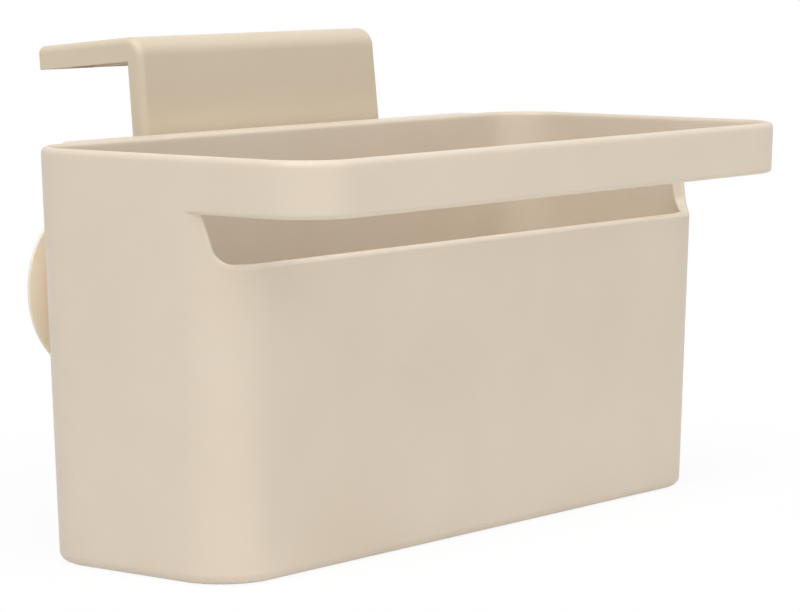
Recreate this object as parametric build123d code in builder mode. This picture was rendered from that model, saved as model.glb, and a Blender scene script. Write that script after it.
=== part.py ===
from build123d import *
import os
from math import cos, radians, sin, tan

# Kitchen sink caddy: an open tapered box with a band rail for a cloth ahead of its low front wall,
# a bracket that hooks over the sink's edge, and two suction cups behind.
# Millimetres, +Z up, X along the length, +Y to the back. The origin is the middle of the base.

# Housing
rim_width = 231.4
rim_depth = 78.7
height = 116.0
wall = 3.0
side_draft = radians(1.3)
end_draft = radians(1.35)
corner_radius = 17.7
base_edge_radius = 2.8
floor_edge_bevel = 2.0
rim_outer_radius = 1.7
rim_inner_bevel = 0.8
overrun = 4.0

# Cloth rail, and the slot between it and the low front wall
slot_height = 13.7
rail_reach = 29.6
rail_height = 15.5
rail_lower_radius = 1.2
slot_inset = 7.9
slot_lean = radians(13.7)
slot_splay = radians(18.0)
slot_corner_radius = 6.0
slot_edge_bevel = 0.9

# Ledge along the back of the rim
ledge_width = 186.0
ledge_depth = 6.1
ledge_height = 14.0
ledge_wall = 2.5
ledge_corner_radius = 3.0
ledge_rib = 2.0
ledge_side_bays = 3

# Hook bracket: a ribbed plate that leans back, bent square into an arm
hook_width = 109.4
hook_lean = radians(5.4)
hook_draft = radians(0.7)
hook_gap = 1.1
hook_rise = 28.8
hook_reach = 42.2
plate_thickness = 5.0
arm_thickness = 7.1
arm_tip_bevel = 1.4
hook_skin = 3.0
hook_border = 2.6
hook_rib = 2.0
hook_bays = 5
hook_bend_radius = 5.6
hook_edge_radius = 2.2
hook_shoulder_drop = 3.4
tongue_width = 78.0
tongue_length = 26.0
tongue_corner_radius = 4.0

# Socket for the bracket's tongue
socket_clearance = 0.3
socket_wall = 2.5
socket_rib = 2.0
socket_bays = 4

# Drain slots in the floor
drain_length = 60.0
drain_width = 4.0
drain_count = 2
drain_pitch = 92.0

# Suction cups: a head and a neck that hang in a pocket, and a thin bell. The cups hang below the ledge,
# each a share of the way from the socket's side to the end of the rim.
cup_radius = 25.0
cup_gap = 3.1
cup_place_share = 0.482
cup_depth = 10.1
cup_rim = 0.8
cup_head_radius = 6.0
cup_head_thickness = 1.8
cup_neck_radius = 2.8
cup_boss_radius = 6.5
cup_boss_length = 0.6
cup_web = 1.6
cup_flat_radius = 15.0

# Pockets on the rear wall that the cups' heads slide up into
pocket_clearance = 0.25
pocket_side = 2.0
pocket_plate = 1.8
pocket_drop = 9.0

os.makedirs("parts", exist_ok=True)

rail_bottom = height - rail_height
front_height = rail_bottom - slot_height
rear_rim = rim_depth / 2


def half_width(z, inset=0.0):
    """Half the housing's width at a height, drawn in from the outer face."""
    return rim_width / 2 - (height - z) * tan(side_draft) - inset


def rear_at(z, inset=0.0):
    """Where the rear wall's face lies at a height."""
    return rim_depth / 2 - (height - z) * tan(end_draft) - inset


def front_at(z, reach=0.0, inset=0.0):
    """Where the front wall's face, or the rail's ahead of it, lies at a height."""
    return (height - z) * tan(end_draft) + inset - rim_depth / 2 - reach


def on_plate(behind, up):
    """The Y and Z of a point of the hook bracket, behind its front face and up from the rim."""
    y = rear_rim + ledge_depth + hook_gap + behind * cos(hook_lean) + up * sin(hook_lean)
    z = height + up * cos(hook_lean) - behind * sin(hook_lean)
    return (y, z)


def steep(edge):
    """Whether an edge runs up and down rather than along."""
    direction = edge % (1 / 2)
    return abs(direction.Z) > abs(direction.X) + abs(direction.Y)


def tapered_block(low, high, reach, inset):
    """A block between two heights that follows the housing's drafts, with rounded corners."""
    with BuildPart() as block:
        with BuildSketch(Plane.XZ):
            Polygon(
                (-half_width(low, inset), low),
                (half_width(low, inset), low),
                (half_width(high, inset), high),
                (-half_width(high, inset), high),
                align=None,
            )
        extrude(amount=rim_width, both=True)
        with BuildSketch(Plane.YZ):
            Polygon(
                (front_at(low, reach, inset), low),
                (rear_at(low, inset), low),
                (rear_at(high, inset), high),
                (front_at(high, reach, inset), high),
                align=None,
            )
        extrude(amount=rim_width, both=True, mode=Mode.INTERSECT)
        fillet(block.edges().filter_by(steep), corner_radius - inset)
    return block.part


def slot_cut():
    """The opening over the low front wall. Its ends lean out towards the top and splay out towards the front."""
    back = corner_radius - rim_depth / 2
    with BuildPart() as cut:
        with BuildSketch(Plane.XY.offset(front_height)):
            with Locations((0, back)):
                Rectangle(rim_width, corner_radius + overrun, align=(Align.CENTER, Align.MAX))
        extrude(amount=height - front_height)
        for side in (-1, 1):
            end = Plane(
                origin=(side * (half_width(height) - slot_inset), back, front_height),
                z_dir=(-side, -tan(slot_splay), tan(slot_lean)),
            )
            split(bisect_by=end, keep=Keep.TOP)
        low_edges = cut.faces().sort_by(Axis.Z)[0].edges()
        fillet(low_edges.filter_by(Axis.X, reverse=True), slot_corner_radius)
    return cut.part


def slot_rim(block):
    """The edges round the slot on the outer face, those that stay ahead of the corners' centres."""
    return block.edges().filter_by(
        lambda edge: edge.bounding_box().min.Z > front_height - slot_edge_bevel
        and edge.bounding_box().max.Y < corner_radius - rim_depth / 2 - slot_edge_bevel
    )


def box_shell():
    """The open box with its band rail, before the ledge behind it."""
    lower_top = rail_bottom + rail_height / 2
    with BuildPart() as shell:
        add(tapered_block(0, lower_top, 0, 0))
        fillet(shell.faces().sort_by(Axis.Z)[0].edges(), base_edge_radius)
        # The slot's outer edges are bevelled while the block is solid, and its inner edges stay sharp.
        add(slot_cut(), mode=Mode.SUBTRACT)
        chamfer(slot_rim(shell), slot_edge_bevel)
        with BuildPart(mode=Mode.SUBTRACT) as hollow:
            add(tapered_block(wall, lower_top, 0, wall))
            chamfer(hollow.faces().sort_by(Axis.Z)[0].edges(), floor_edge_bevel)
        with BuildPart(mode=Mode.ADD) as band:
            add(tapered_block(rail_bottom, height, rail_reach, 0))
            fillet(band.faces().sort_by(Axis.Z)[0].edges(), rail_lower_radius)
        add(tapered_block(rail_bottom, height + overrun, rail_reach, wall), mode=Mode.SUBTRACT)
    return shell.part


def ledge_block():
    """The solid ledge behind the rim, reaching into the rear wall."""
    with BuildPart() as ledge:
        with BuildSketch(Plane.XY.offset(height - ledge_height)):
            with Locations((0, rear_rim + ledge_depth)):
                Rectangle(ledge_width, ledge_depth + wall / 2, align=(Align.CENTER, Align.MAX))
        extrude(amount=ledge_height)
        rear_corners = ledge.edges().filter_by(Axis.Z).group_by(Axis.Y)[-1]
        fillet(rear_corners, ledge_corner_radius)
    return ledge.part


socket_half = tongue_width / 2 + socket_clearance
socket_bottom = -(hook_shoulder_drop + tongue_length + socket_clearance)


def socket_block():
    """The solid socket below the ledge, leaning with the bracket's plate."""
    back = hook_skin + socket_clearance + socket_wall
    top = -(hook_shoulder_drop + socket_clearance)
    bottom = socket_bottom - socket_wall
    foot_y, foot_z = on_plate(back, bottom)
    head_y, head_z = on_plate(-socket_clearance, top)
    with BuildPart() as socket:
        with BuildSketch(Plane.YZ):
            Polygon(
                (rear_at(foot_z, wall / 2), foot_z),
                (foot_y, foot_z),
                on_plate(back, top),
                (head_y, head_z),
                (rear_at(head_z, wall / 2), head_z),
                align=None,
            )
        extrude(amount=socket_half + socket_wall, both=True)
    return socket.part


def tongue_slot():
    """The space in the socket that the bracket's tongue stands in, open above."""
    front = -socket_clearance
    back = hook_skin + socket_clearance
    with BuildPart() as slot:
        with BuildSketch(Plane.YZ):
            Polygon(
                on_plate(front, socket_bottom),
                on_plate(back, socket_bottom),
                on_plate(back, overrun),
                on_plate(front, overrun),
                align=None,
            )
        extrude(amount=socket_half, both=True)
    return slot.part


def bays(low_x, high_x, count, rib):
    """The middles and the width of equal bays between ribs."""
    width = (high_x - low_x - (count - 1) * rib) / count
    middles = [low_x + width / 2 + index * (width + rib) for index in range(count)]
    return middles, width


def ledge_pockets():
    """The hollows under the ledge at both sides of the socket, between ribs."""
    low_x = socket_half + socket_wall
    high_x = ledge_width / 2 - ledge_wall
    middles, width = bays(low_x, high_x, ledge_side_bays, ledge_rib)
    depth = ledge_depth - ledge_wall
    with BuildPart() as pockets:
        with BuildSketch(Plane.XY.offset(height - ledge_height)):
            with Locations(*[(side * x, rear_rim + depth / 2) for side in (-1, 1) for x in middles]):
                Rectangle(width, depth)
        extrude(amount=ledge_height - ledge_wall)
    return pockets.part


def socket_pockets():
    """The hollows between the rear wall and the socket's front wall, open below."""
    middles, width = bays(-socket_half, socket_half, socket_bays, socket_rib)
    front = -(socket_clearance + socket_wall)
    foot_y, foot_z = on_plate(front, socket_bottom - socket_wall - overrun)
    top_z = height - ledge_wall
    head_y = on_plate(front, -ledge_wall)[0]
    with BuildPart() as pockets:
        for x in middles:
            with BuildSketch(Plane.YZ.offset(x)):
                Polygon(
                    (rear_at(foot_z), foot_z),
                    (foot_y, foot_z),
                    (head_y, top_z),
                    (rear_at(top_z), top_z),
                    align=None,
                )
            extrude(amount=width / 2, both=True)
    return pockets.part


pocket_gap = cup_head_thickness + 2 * pocket_clearance
pocket_depth = pocket_gap + pocket_plate
socket_side = socket_half + socket_wall
cup_x = socket_side + (rim_width / 2 - socket_side) * cup_place_share
cup_height = height - ledge_height - cup_gap - cup_radius

# The rear wall's outer face at the height of the cups, whose normal droops with the draft. Its Y is down.
cup_plane = Plane(
    origin=(0, rear_at(cup_height), cup_height),
    x_dir=(1, 0, 0),
    z_dir=(0, cos(end_draft), -sin(end_draft)),
)


def pocket_solids(radius, drop, start, end, round_top=False):
    """Two blocks round the cups' axes between two depths behind the rear wall, for its pockets."""
    with BuildPart() as solids:
        with BuildSketch(cup_plane.offset(start)):
            with Locations((-cup_x, 0), (cup_x, 0)):
                if round_top:
                    Circle(radius)
                    Rectangle(2 * radius, drop, align=(Align.CENTER, Align.MIN))
                else:
                    with Locations((0, -radius)):
                        Rectangle(2 * radius, radius + drop, align=(Align.CENTER, Align.MIN))
        extrude(amount=end - start)
    return solids.part


head_room = cup_head_radius + pocket_clearance
neck_room = cup_neck_radius + pocket_clearance
open_drop = pocket_drop + overrun

with BuildPart() as caddy_body:
    add(box_shell())
    add(ledge_block())
    # The rim is rounded all the way round on the outside, and bevelled on the inside.
    rim_face = caddy_body.faces().sort_by(Axis.Z)[-1]
    fillet(rim_face.outer_wire().edges(), rim_outer_radius)
    rim_face = caddy_body.faces().sort_by(Axis.Z)[-1]
    chamfer(rim_face.inner_wires()[0].edges(), rim_inner_bevel)
    add(socket_block())
    add(tongue_slot(), mode=Mode.SUBTRACT)
    add(ledge_pockets(), mode=Mode.SUBTRACT)
    add(socket_pockets(), mode=Mode.SUBTRACT)
    with BuildSketch(Plane.XY):
        with GridLocations(drain_pitch, drain_width, drain_count, 1):
            SlotOverall(drain_length, drain_width)
    extrude(amount=wall, mode=Mode.SUBTRACT)
    add(pocket_solids(head_room + pocket_side, pocket_drop, -wall / 2, pocket_depth))
    add(pocket_solids(head_room, open_drop, 0, pocket_gap), mode=Mode.SUBTRACT)
    add(pocket_solids(neck_room, open_drop, 0, pocket_depth + overrun, round_top=True), mode=Mode.SUBTRACT)

caddy_body.part.label = "caddy_body"
export_step(caddy_body.part, "parts/caddy_body.step")


def hook_block(inset, half):
    """The bracket's bent plate, or the hollow inside its skin where there is an inset."""
    hollow = inset > 0
    border = hook_border if hollow else 0
    open_side = overrun if hollow else 0
    top = hook_rise - inset
    tip = hook_reach - border
    foot = border - hook_shoulder_drop
    back = plate_thickness + open_side
    under = hook_rise - arm_thickness - open_side
    with BuildPart() as block:
        with BuildSketch(Plane.YZ) as profile:
            Polygon(
                on_plate(inset, foot),
                on_plate(inset, top),
                on_plate(tip, top),
                on_plate(tip, under + arm_tip_bevel),
                on_plate(tip - arm_tip_bevel, under),
                on_plate(back, under),
                on_plate(back, foot),
                align=None,
            )
            bend = profile.vertices().sort_by_distance(Vector(*on_plate(inset, top)))[0]
            fillet(bend, hook_bend_radius - inset)
        extrude(amount=half, both=True)
    return block.part


def plate_plane(behind):
    """The plane of the bracket's plate, a distance behind its front face, seen from the front."""
    y, z = on_plate(behind, 0)
    return Plane(origin=(0, y, z), x_dir=(1, 0, 0), z_dir=(0, -cos(hook_lean), sin(hook_lean)))


def hook_taper():
    """A wedge as wide as the bracket, whose sides draw in towards the top."""
    low = -hook_shoulder_drop - overrun
    high = hook_rise + overrun
    drawn_in = high * tan(hook_draft)
    with BuildPart() as taper:
        with BuildSketch(plate_plane(-overrun)):
            Polygon(
                (-hook_width / 2, low),
                (hook_width / 2, low),
                (hook_width / 2, 0),
                (hook_width / 2 - drawn_in, high),
                (drawn_in - hook_width / 2, high),
                (-hook_width / 2, 0),
                align=None,
            )
        extrude(amount=-(hook_reach + 2 * overrun))
    return taper.part


def outside_edges(block):
    """The edges of the bracket's outer skin and of its tip. Those round the ribs and the foot stay sharp."""
    chosen = []
    for edge in block.edges():
        y, z = (edge @ (1 / 2)).Y - on_plate(0, 0)[0], (edge @ (1 / 2)).Z - height
        behind = y * cos(hook_lean) - z * sin(hook_lean)
        up = y * sin(hook_lean) + z * cos(hook_lean)
        skin_depth = min(behind, hook_rise - up)
        if skin_depth < plate_thickness - hook_edge_radius / 2 and up > -hook_shoulder_drop / 2:
            chosen.append(edge)
    return chosen


def hook_bay_hollows():
    """The hollows between the bracket's ribs, open to the back and below the arm."""
    inner = hook_width / 2 - hook_border - hook_rise * tan(hook_draft)
    middles, width = bays(-inner, inner, hook_bays, hook_rib)
    hollow = hook_block(hook_skin, width / 2)
    with BuildPart() as hollows:
        for x in middles:
            add(hollow.moved(Location((x, 0, 0))))
    return hollows.part


def tongue_block():
    """The thin tongue below the bracket's shoulders, its lower corners rounded."""
    with BuildPart() as tongue:
        with BuildSketch(plate_plane(0)) as outline:
            with Locations((0, hook_skin - hook_shoulder_drop)):
                Rectangle(tongue_width, tongue_length + hook_skin, align=(Align.CENTER, Align.MAX))
            fillet(outline.vertices().group_by(Axis.Y)[0], tongue_corner_radius)
        extrude(amount=-hook_skin)
    return tongue.part


with BuildPart() as hook_bracket:
    add(hook_block(0, hook_width))
    add(hook_taper(), mode=Mode.INTERSECT)
    fillet(outside_edges(hook_bracket), hook_edge_radius)
    add(hook_bay_hollows(), mode=Mode.SUBTRACT)
    add(tongue_block())

hook_bracket.part.label = "hook_bracket"
export_step(hook_bracket.part, "parts/hook_bracket.step")


def suction_cup(name, x):
    """A suction cup: head and neck in their pocket, and a thin bell, flat in the middle and flared round it."""
    head_back = pocket_clearance + cup_head_thickness
    boss_front = pocket_depth + pocket_clearance
    boss_back = boss_front + cup_boss_length
    web_back = boss_back + cup_web
    with BuildPart() as cup:
        with BuildSketch(Plane.XZ):
            Polygon(
                (0, pocket_clearance),
                (cup_head_radius, pocket_clearance),
                (cup_head_radius, head_back),
                (cup_neck_radius, head_back),
                (cup_neck_radius, boss_front),
                (cup_boss_radius, boss_front),
                (cup_boss_radius, boss_back),
                (cup_flat_radius, boss_back),
                (cup_radius, cup_depth - cup_rim),
                (cup_radius, cup_depth),
                (cup_flat_radius - cup_web, web_back),
                (0, web_back),
                align=None,
            )
        revolve(axis=Axis.Z)
    placed = cup.part.moved(cup_plane.location * Location((x, 0, 0)))
    placed.label = name
    export_step(placed, f"parts/{name}.step")


suction_cup("suction_cup_left", -cup_x)
suction_cup("suction_cup_right", cup_x)
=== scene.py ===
import math

import bmesh
import bpy
from mathutils import Matrix, Quaternion, Vector


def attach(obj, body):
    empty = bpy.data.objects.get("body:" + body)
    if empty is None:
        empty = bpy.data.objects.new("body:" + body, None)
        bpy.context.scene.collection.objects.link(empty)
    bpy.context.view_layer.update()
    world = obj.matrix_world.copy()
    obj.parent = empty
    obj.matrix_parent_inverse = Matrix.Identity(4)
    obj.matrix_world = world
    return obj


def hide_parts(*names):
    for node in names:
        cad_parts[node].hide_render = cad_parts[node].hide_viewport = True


# Kitchen sink caddy, photographed from the front left on white. Metres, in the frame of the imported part.
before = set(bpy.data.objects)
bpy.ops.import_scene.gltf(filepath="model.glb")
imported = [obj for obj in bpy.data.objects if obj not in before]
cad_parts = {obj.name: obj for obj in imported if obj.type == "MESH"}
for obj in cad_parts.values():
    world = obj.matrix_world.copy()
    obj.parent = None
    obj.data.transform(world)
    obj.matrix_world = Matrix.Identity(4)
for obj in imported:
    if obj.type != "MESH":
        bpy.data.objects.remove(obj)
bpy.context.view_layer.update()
scene = bpy.context.scene
scene.view_settings.view_transform = "Standard"

MM = 0.001

# Camera, solved from the edges of the photographed caddy
CAMERA_AT = (-0.775784, -0.625079, 0.176256)
CAMERA_LOOKS_AT = (0.039039, 0.026641, 0.058674)
CAMERA_ROLL = math.radians(-0.1525)
LENS = 151.7074
SENSOR = 36.0

# Soft square lamps: name, place, what it points at, side and watts
LAMPS = (
    ("top_left", (-1.0, -0.3, 1.6), (0.0, 0.0, 0.05), 1.4, 23.2),
    ("top", (0.0, -0.2, 1.8), (0.0, 0.0, 0.05), 1.6, 6.0),
    ("front_high", (0.2, -0.9, 1.3), (0.0, -0.03, 0.06), 1.0, 2.8),
    ("front", (0.1, -1.9, 0.8), (0.0, 0.0, 0.06), 1.4, 6.2),
)
SURROUNDING_LIGHT = 0.36

# Floor: seen directly it is lifted to white, beyond the far radius wholly, and within the near one, where the
# shadow lies, a little less
FLOOR_HALF = 6.0
FLOOR_BELOW = 0.0002
FLOOR_GREY = 0.86
SHADOW_RADII = (0.12, 0.28)
SHADOW_LIFTS = (0.92, 1.0)

# Colours, as linear values. Those of a moulding are its specks, and the darkest and lightest of its clouds.
BEIGE = ((0.688, 0.595, 0.478), (0.674, 0.579, 0.460), (0.702, 0.610, 0.495))
# The hook's beige is the housing's plastic painted darker, as painted shade where the hook stands back
HOOK_BEIGE_SHADED = ((0.633, 0.539, 0.409), (0.620, 0.524, 0.393), (0.646, 0.553, 0.424))
# Pale colour painted along edges as a highlight
EDGE_HIGHLIGHT_COLOUR = (0.82, 0.73, 0.61)
CREAM = (0.94, 0.78, 0.655)
CREAM_DARK = (0.91, 0.74, 0.605)
DUST = (0.88, 0.82, 0.72)
WHITE = (1.0, 1.0, 1.0)

# Mouldings' edges: how round they look, and how near an edge the painted highlight lies
EDGE_ROUNDING = 0.0005
SLOT_ROUNDING = 0.0008
RIM_ROUNDING = 0.0020
EDGE_HIGHLIGHT_REACH = 0.0012
EDGE_HIGHLIGHT_SHARE = 0.4
SLOT_HIGHLIGHT_BOOST = 2.8
BEVEL_SAMPLES = 6

# The slot in the housing's front: from the low front wall's top up to the rail's lower edge
SLOT_HEIGHT = (0.0868, 0.1005)
# How far below the slot, and how far past its two edges, the housing's edges start and stop turning rounder
ROUNDER_BELOW = (0.0043, 0.0023)
ROUNDER_PAST = (-0.001, 0.003)
# How far past the slot's two edges the painted edge highlight's boost starts and stops fading
HIGHLIGHT_FADE_PAST = (0.001, 0.003)

# Suction cups: where the rear wall's outer face carries them
WALL_DRAFT = math.radians(1.35)
CUP_X = 0.07742
CUP_Z = 0.0739
WALL_Y_AT_CUP = 0.03935 - (0.116 - CUP_Z) * math.tan(WALL_DRAFT)

# A suction cup's sizes, in millimetres. Depths are measured back from the rear wall, and a point is a radius and
# a depth.
HEAD_RADIUS = 6.0
HEAD_FRONT = 0.25
HEAD_BACK = 2.05
HEAD_ROUNDING = 0.4
NECK_RADIUS = 2.8
NECK_FILLET = 0.5
NECK_BACK = 4.1
BOSS_RADIUS = 6.5
BOSS_FRONT = 4.35
BOSS_ROUNDING = 0.3
FLAT_START, FLAT_END = (6.8, 4.95), (14.0, 4.98)
BELL_START, BELL_END = (14.6, 5.0), (24.8, 9.22)
BELL_BEND = 1.2
CUP_RADIUS = 25.0
CUP_DEPTH = 10.1
LIP_ROUNDING = 0.4
SEAL_GROOVE = ((22.2, 9.43), (21.9, 9.05), (21.4, 9.0), (21.1, 9.1))
HOLLOW_START, HOLLOW_END = (2.0, 6.47), (20.8, 9.0)
HOLLOW_BEND = 2.3
GATE_MARK = ((1.5, 6.75), (0.9, 6.9), (0, 6.92))
CUP_TURNS = 72
SHARP_EDGE = math.radians(50)


def link(obj):
    scene.collection.objects.link(obj)
    return obj


def turn_towards(obj, at, towards, roll=0.0):
    """Put a camera or lamp at a place and point it at another."""
    obj.location = at
    obj.rotation_mode = "QUATERNION"
    facing = (Vector(towards) - Vector(at)).to_track_quat("-Z", "Y")
    obj.rotation_quaternion = facing @ Quaternion((0, 0, 1), roll)


class Nodes:
    """A short way to build the nodes of a material or a world, from an empty tree."""

    def __init__(self, owner):
        owner.use_nodes = True
        self.tree = owner.node_tree
        self.tree.nodes.clear()

    def add(self, kind, inputs=None, **settings):
        node = self.tree.nodes.new(kind)
        for key, value in settings.items():
            setattr(node, key, value)
        for key, value in (inputs or {}).items():
            self.set(node.inputs[key], value)
        return node

    def set(self, socket, value):
        if isinstance(value, bpy.types.NodeSocket):
            self.tree.links.new(value, socket)
        else:
            socket.default_value = value

    def noise(self, at, scale, detail, roughness, distortion=0.0):
        node = self.add(
            "ShaderNodeTexNoise",
            {"Vector": at, "Scale": scale, "Detail": detail, "Roughness": roughness, "Distortion": distortion},
        )
        return node.outputs["Fac"]

    def remap(self, value, span, result):
        """What runs over a span, made to run over another and held at its ends."""
        inputs = {"Value": value, "From Min": span[0], "From Max": span[1], "To Min": result[0], "To Max": result[1]}
        return self.add("ShaderNodeMapRange", inputs).outputs["Result"]

    def mix(self, share, one, two):
        node = self.add("ShaderNodeMix", data_type="RGBA")
        self.set(node.inputs["Factor"], share)
        self.set(node.inputs[6], one)
        self.set(node.inputs[7], two)
        return node.outputs[2]

    def mix_shader(self, share, one, two):
        return self.add("ShaderNodeMixShader", {0: share, 1: one, 2: two}).outputs[0]

    def math(self, operation, one, two=0.0):
        return self.add("ShaderNodeMath", {0: one, 1: two}, operation=operation).outputs[0]

    def bump(self, height, strength, distance, normal=None):
        inputs = {"Height": height, "Strength": strength, "Distance": distance}
        if normal is not None:
            inputs["Normal"] = normal
        return self.add("ShaderNodeBump", inputs).outputs["Normal"]

    def bevel(self, radius):
        return self.add("ShaderNodeBevel", {"Radius": radius}, samples=BEVEL_SAMPLES).outputs["Normal"]

    def object_coordinates(self):
        return self.add("ShaderNodeTexCoord").outputs["Object"]

    def seen_directly(self):
        """1 for what the camera sees, also in a reflection or through something clear, and 0 for other light."""
        path = self.add("ShaderNodeLightPath").outputs
        seen = self.math("MAXIMUM", path["Is Camera Ray"], path["Is Glossy Ray"])
        return self.math("MAXIMUM", seen, path["Is Transmission Ray"])


def opaque(colour):
    return (*colour, 1.0)


def slot_edges(n, geometry):
    """How round the housing's edges look, and how much brighter their painted highlight is beside the slot, by their
    height.
    """
    height = n.add("ShaderNodeSeparateXYZ", {0: geometry["Position"]}).outputs["Z"]
    low_front, rail = SLOT_HEIGHT
    half = (rail - low_front) / 2
    from_slot = n.math("ABSOLUTE", n.math("SUBTRACT", height, low_front + half))
    # The rim, the rail and the front wall end in rounder edges than the floor, the back and the slot's ends.
    above = n.remap(height, [low_front - below for below in ROUNDER_BELOW], (EDGE_ROUNDING, RIM_ROUNDING))
    beside = n.remap(from_slot, [half + past for past in ROUNDER_PAST], (SLOT_ROUNDING, RIM_ROUNDING))
    # The painted edge highlight is stronger along the slot's edges.
    highlight_boost = n.remap(from_slot, [half + past for past in HIGHLIGHT_FADE_PAST], (SLOT_HIGHLIGHT_BOOST, 1.0))
    return n.math("MINIMUM", above, beside), highlight_boost


def moulded_plastic(name, colours, has_slot=False):
    """Satin polypropylene: slight pigment clouds, a fine moulded grain, and a painted highlight that makes it paler
    along its edges.
    """
    plain, dark, light = colours
    material = bpy.data.materials.new(name)
    n = Nodes(material)
    at = n.object_coordinates()
    geometry = n.add("ShaderNodeNewGeometry").outputs

    clouds = n.noise(at, scale=22.0, detail=3.0, roughness=0.55, distortion=0.4)
    specks = n.noise(at, scale=900.0, detail=2.0, roughness=0.6)
    colour = n.mix(n.remap(clouds, (0.3, 0.7), (0.0, 1.0)), opaque(dark), opaque(light))
    colour = n.mix(n.remap(specks, (0.35, 0.75), (0.25, 0.0)), colour, opaque(plain))

    # Painted highlight where an edge is: there a rounded normal turns away from the face's own.
    facing = n.add(
        "ShaderNodeVectorMath", {0: n.bevel(EDGE_HIGHLIGHT_REACH), 1: geometry["Normal"]}, operation="DOT_PRODUCT"
    )
    edge = n.remap(facing.outputs["Value"], (0.995, 0.85), (0.0, EDGE_HIGHLIGHT_SHARE))
    rounding = EDGE_ROUNDING
    if has_slot:
        rounding, highlight_boost = slot_edges(n, geometry)
        edge = n.math("MULTIPLY", edge, highlight_boost)
    # Noise breaks up the painted edge highlight.
    highlight_breakup = n.remap(n.noise(at, scale=160.0, detail=4.0, roughness=0.65), (0.35, 0.65), (0.4, 1.0))
    colour = n.mix(n.math("MULTIPLY", edge, highlight_breakup), colour, opaque(EDGE_HIGHLIGHT_COLOUR))

    # Handling leaves the raised edges a little glossier.
    patches = n.noise(at, scale=60.0, detail=4.0, roughness=0.6, distortion=0.6)
    rough = n.remap(patches, (0.3, 0.7), (0.38, 0.48))
    rough = n.math("SUBTRACT", rough, n.math("MULTIPLY", edge, 0.15))

    waves = n.noise(at, scale=55.0, detail=2.0, roughness=0.4)
    ripple = n.bump(waves, strength=0.08, distance=0.0004, normal=n.bevel(rounding))
    grain = n.noise(at, scale=2600.0, detail=2.0, roughness=0.5)
    normal = n.bump(grain, strength=0.10, distance=0.00005, normal=ripple)
    shader = n.add(
        "ShaderNodeBsdfPrincipled",
        {
            "Base Color": colour,
            "Roughness": rough,
            "IOR": 1.49,
            "Normal": normal,
            "Subsurface Weight": 0.12,
            "Subsurface Radius": (1.0, 0.75, 0.5),
            "Subsurface Scale": 0.002,
        },
    )
    n.add("ShaderNodeOutputMaterial", {"Surface": shader.outputs["BSDF"]})
    return material


def soft_vinyl():
    """Milky cream vinyl: light goes a little way in, and a little dust clings to it."""
    material = bpy.data.materials.new("cream_vinyl")
    n = Nodes(material)
    at = n.object_coordinates()
    clouds = n.noise(at, scale=70.0, detail=3.0, roughness=0.6, distortion=0.5)
    colour = n.mix(n.remap(clouds, (0.3, 0.7), (0.0, 1.0)), opaque(CREAM_DARK), opaque(CREAM))
    dust = n.remap(n.noise(at, scale=700.0, detail=3.0, roughness=0.7), (0.58, 0.78), (0.0, 0.4))
    colour = n.mix(dust, colour, opaque(DUST))
    rough = n.remap(n.noise(at, scale=120.0, detail=3.0, roughness=0.6), (0.3, 0.7), (0.28, 0.42))
    normal = n.bump(n.noise(at, scale=180.0, detail=3.0, roughness=0.5), strength=0.12, distance=0.0002)
    shader = n.add(
        "ShaderNodeBsdfPrincipled",
        {
            "Base Color": colour,
            "Roughness": rough,
            "IOR": 1.5,
            "Normal": normal,
            "Subsurface Weight": 0.6,
            "Subsurface Radius": (1.0, 0.7, 0.4),
            "Subsurface Scale": 0.004,
        },
    )
    n.add("ShaderNodeOutputMaterial", {"Surface": shader.outputs["BSDF"]})
    return material


def floor_material():
    """Pale and matt. Seen directly it is lifted to white, wholly so away from the object and its shadow."""
    material = bpy.data.materials.new("studio_floor")
    n = Nodes(material)
    away = n.add("ShaderNodeVectorMath", {0: n.object_coordinates()}, operation="LENGTH").outputs["Value"]
    lift = n.remap(away, SHADOW_RADII, SHADOW_LIFTS)
    grey = opaque((FLOOR_GREY, FLOOR_GREY, FLOOR_GREY))
    matt = n.add("ShaderNodeBsdfDiffuse", {"Color": grey, "Roughness": 0.0}).outputs[0]
    glow = n.add("ShaderNodeEmission", {"Color": opaque(WHITE), "Strength": 1.0}).outputs[0]
    lifted = n.mix_shader(lift, matt, glow)
    n.add("ShaderNodeOutputMaterial", {"Surface": n.mix_shader(n.seen_directly(), matt, lifted)})
    return material


def studio_world():
    """Even soft light all round, seen as white behind the object."""
    scene.world = bpy.data.worlds.new("studio")
    n = Nodes(scene.world)
    light = n.add("ShaderNodeBackground", {"Color": opaque(WHITE), "Strength": SURROUNDING_LIGHT}).outputs[0]
    white = n.add("ShaderNodeBackground", {"Color": opaque(WHITE), "Strength": 1.0}).outputs[0]
    n.add("ShaderNodeOutputWorld", {"Surface": n.mix_shader(n.seen_directly(), light, white)})


def make_camera():
    data = bpy.data.cameras.new("camera")
    data.lens = LENS
    data.sensor_width = SENSOR
    data.clip_start = 0.05
    data.clip_end = 20.0
    camera = link(bpy.data.objects.new("camera", data))
    turn_towards(camera, CAMERA_AT, CAMERA_LOOKS_AT, CAMERA_ROLL)
    scene.camera = camera


def soft_lamp(name, at, towards, side, watts):
    data = bpy.data.lights.new(name, "AREA")
    data.shape = "SQUARE"
    data.size = side
    data.energy = watts
    turn_towards(link(bpy.data.objects.new(name, data)), at, towards)


def make_floor():
    mesh = bpy.data.meshes.new("studio_floor")
    corners = [(x * FLOOR_HALF, y * FLOOR_HALF, 0) for x, y in ((-1, -1), (1, -1), (1, 1), (-1, 1))]
    mesh.from_pydata(corners, [], [(0, 1, 2, 3)])
    mesh.materials.append(floor_material())
    floor = link(bpy.data.objects.new("studio_floor", mesh))
    floor.location = (0, 0, -FLOOR_BELOW)


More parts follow.
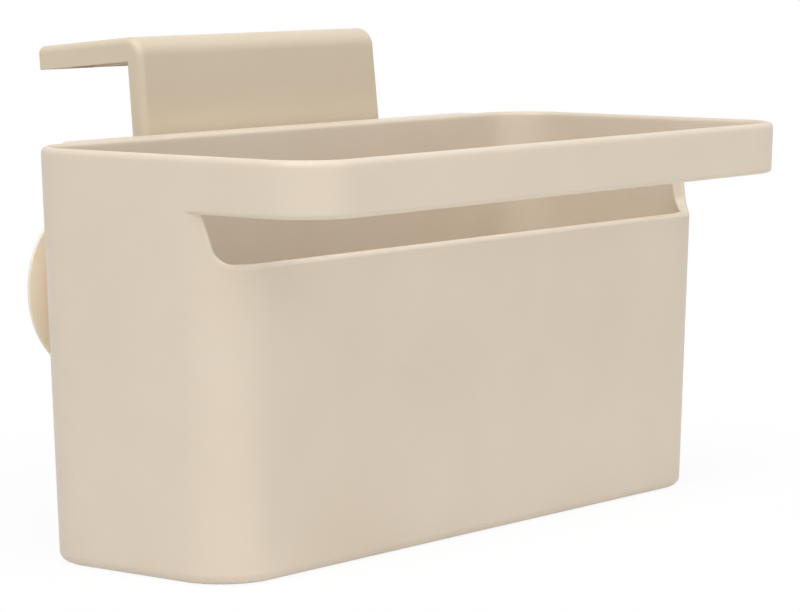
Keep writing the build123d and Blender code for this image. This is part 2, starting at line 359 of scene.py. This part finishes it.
def arc(centre, radius, start, end, count):
    """Points of a circular arc in a lathe profile, from one angle to another in degrees."""
    points = []
    for index in range(count + 1):
        angle = math.radians(start + (end - start) * index / count)
        points.append((centre[0] + radius * math.cos(angle), centre[1] + radius * math.sin(angle)))
    return points


def flare(start, end, bend, count):
    """Points of a bell's profile between two ends, ever steeper towards the rim."""
    points = []
    for index in range(count + 1):
        t = index / count
        points.append((start[0] + (end[0] - start[0]) * t, start[1] + (end[1] - start[1]) * t**bend))
    return points


def cup_profile():
    """Head, neck, boss and a domed bell with a rounded lip, as radii and depths behind the wall."""
    head_x = HEAD_RADIUS - HEAD_ROUNDING
    head = [(0, HEAD_FRONT)]
    head += arc((head_x, HEAD_FRONT + HEAD_ROUNDING), HEAD_ROUNDING, -90, 0, 4)
    head += arc((head_x, HEAD_BACK - HEAD_ROUNDING), HEAD_ROUNDING, 0, 90, 4)
    neck = arc((NECK_RADIUS + NECK_FILLET, HEAD_BACK + NECK_FILLET), NECK_FILLET, -90, -180, 4)
    neck += [(NECK_RADIUS, NECK_BACK)]
    boss = arc((BOSS_RADIUS - BOSS_ROUNDING, BOSS_FRONT + BOSS_ROUNDING), BOSS_ROUNDING, -90, 0, 3)
    outside = flare(FLAT_START, FLAT_END, 1.0, 2) + flare(BELL_START, BELL_END, BELL_BEND, 14)
    lip = arc((CUP_RADIUS - LIP_ROUNDING, CUP_DEPTH - LIP_ROUNDING), LIP_ROUNDING, -60, 90, 6)
    inside = list(reversed(flare(HOLLOW_START, HOLLOW_END, HOLLOW_BEND, 12)))
    points = head + neck + boss + outside + lip + list(SEAL_GROOVE) + inside + list(GATE_MARK)
    return [(radius * MM, depth * MM) for radius, depth in points]


def lathe(name, profile, turns, material):
    """A closed solid of revolution about its own Z axis, from a profile that starts and ends on the axis."""
    bm = bmesh.new()
    rings = []
    for radius, depth in profile:
        ring = []
        for index in range(1 if radius == 0 else turns):
            angle = 2 * math.pi * index / turns
            ring.append(bm.verts.new((radius * math.cos(angle), radius * math.sin(angle), depth)))
        rings.append(ring)
    for one, two in zip(rings, rings[1:]):
        for index in range(turns):
            following = (index + 1) % turns
            steps = ((one, index), (two, index), (two, following), (one, following))
            corners = [around[step % len(around)] for around, step in steps]
            # A ring on the axis is a single point, so the face there has 3 corners.
            bm.faces.new(list(dict.fromkeys(corners)))
    bmesh.ops.recalc_face_normals(bm, faces=bm.faces)
    for face in bm.faces:
        face.smooth = True
    for edge in bm.edges:
        edge.smooth = edge.calc_face_angle(0.0) < SHARP_EDGE
    mesh = bpy.data.meshes.new(name)
    bm.to_mesh(mesh)
    bm.free()
    mesh.materials.append(material)
    return link(bpy.data.objects.new(name, mesh))


def suction_cup(name, node, x, material):
    cup = lathe(name, cup_profile(), CUP_TURNS, material)
    # The cup's axis is square to the rear wall's outer face, which leans with the draft.
    out_of_wall = Vector((0, math.cos(WALL_DRAFT), -math.sin(WALL_DRAFT)))
    across = Vector((1, 0, 0))
    turned = Matrix((across, out_of_wall.cross(across), out_of_wall)).transposed().to_4x4()
    cup.matrix_world = Matrix.Translation((x, WALL_Y_AT_CUP, CUP_Z)) @ turned
    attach(cup, "caddy")
    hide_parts(node)


vinyl = soft_vinyl()
mouldings = {
    "caddy_body": moulded_plastic("housing_plastic", BEIGE, has_slot=True),
    # The hook gets a copy of the plastic painted darker as shade.
    "hook_bracket": moulded_plastic("hook_plastic_shaded", HOOK_BEIGE_SHADED),
}
for name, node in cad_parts.items():
    node.data.materials.clear()
    node.data.materials.append(mouldings.get(name, vinyl))

suction_cup("cup_left", "suction_cup_left", -CUP_X, vinyl)
suction_cup("cup_right", "suction_cup_right", CUP_X, vinyl)

studio_world()
make_floor()
make_camera()
for lamp in LAMPS:
    soft_lamp(*lamp)
